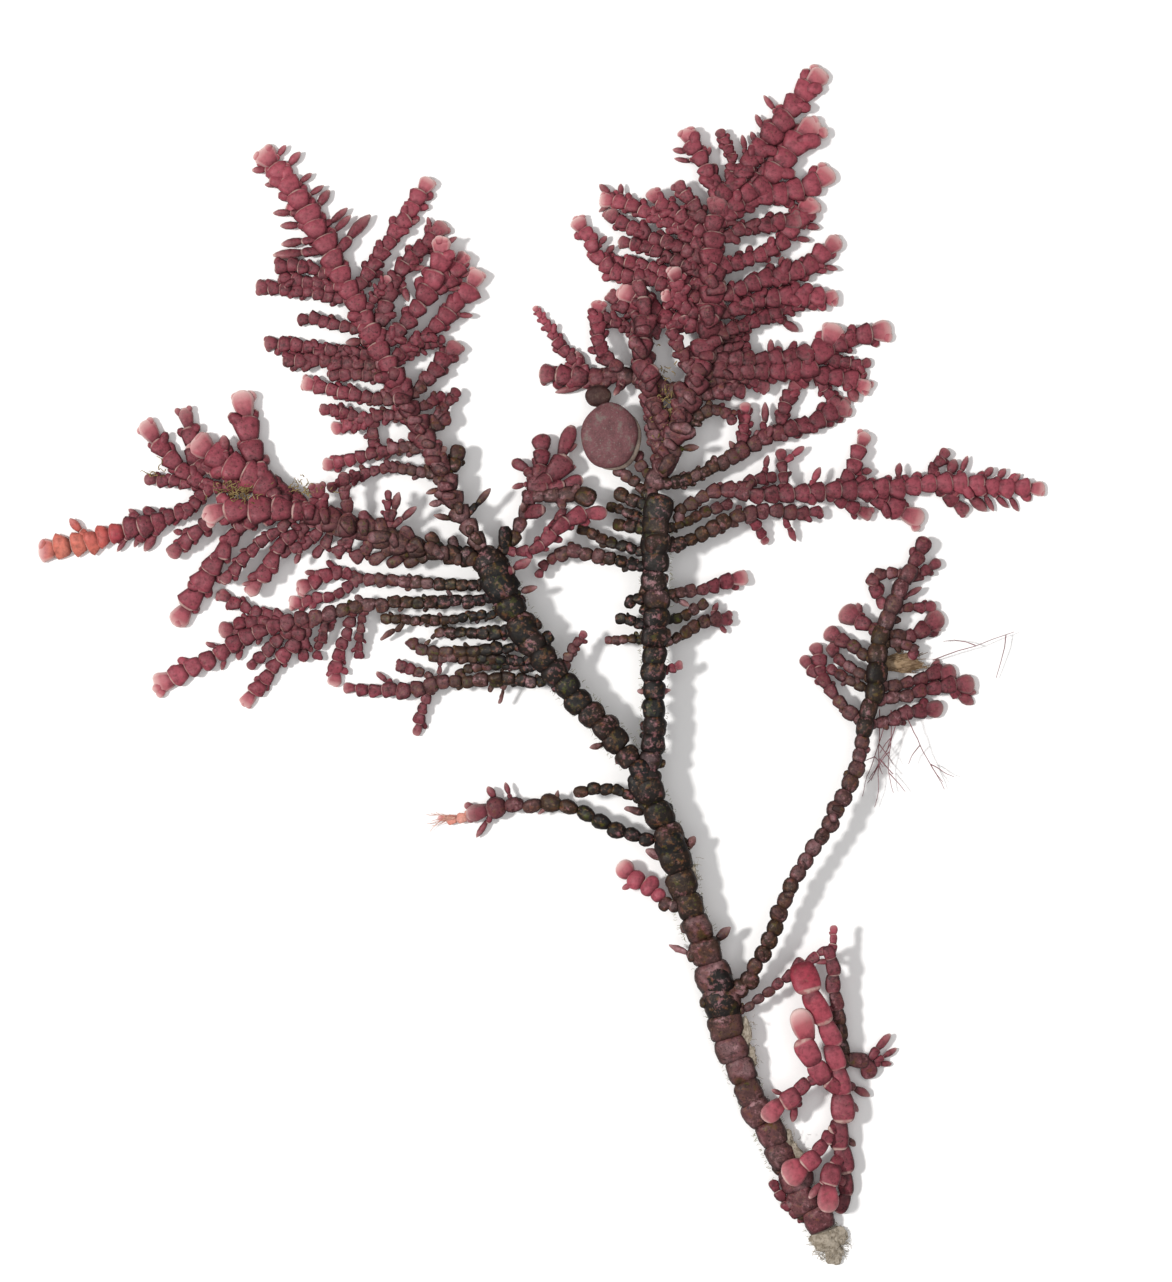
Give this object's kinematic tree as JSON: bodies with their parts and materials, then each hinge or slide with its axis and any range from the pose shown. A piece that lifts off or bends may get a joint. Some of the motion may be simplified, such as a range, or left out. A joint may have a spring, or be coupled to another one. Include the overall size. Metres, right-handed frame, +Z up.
{
  "type": "johansenia macmillanii seaweed",
  "caption": "Lying specimen of a jointed coralline red seaweed: a dark forked stem that carries flat, feather-like fronds of short limy segments, with two round crusts on it.",
  "frame": {"origin": "under the middle of the specimen's bounding box, on the surface it lies on", "axes": "+Y from the root tuft to the crown of the fronds, +Z up from the surface it lies on, +X to the right as seen from above"},
  "size_m": [0.0856, 0.1022, 0.0045],
  "materials": {
    "dark_stem": "satin, olive-black old coralline stem with mauve patches",
    "rosy_frond": "satin, dusty rose limy segments with pale joints",
    "red_shoot": "satin, bright red to pink young segments",
    "root_tuft": "matte, grey-beige fibres with sand",
    "crust": "matte, finely grained purple-brown crust"
  },
  "bodies": {
    "root": {"main_stem": "dark_stem", "left_arm": "dark_stem", "right_arm": "dark_stem", "lower_branchlet": "rosy_frond", "upper_left_frond": "rosy_frond", "left_frond": "rosy_frond", "crown_frond": "rosy_frond", "right_frond": "rosy_frond", "side_frond": "rosy_frond", "middle_sprig": "rosy_frond", "pink_bead_shoot": "red_shoot", "basal_shoots": "red_shoot", "basal_tuft": "root_tuft", "crust_disc": "crust", "crust_knob": "crust"}
  },
  "joints": []
}
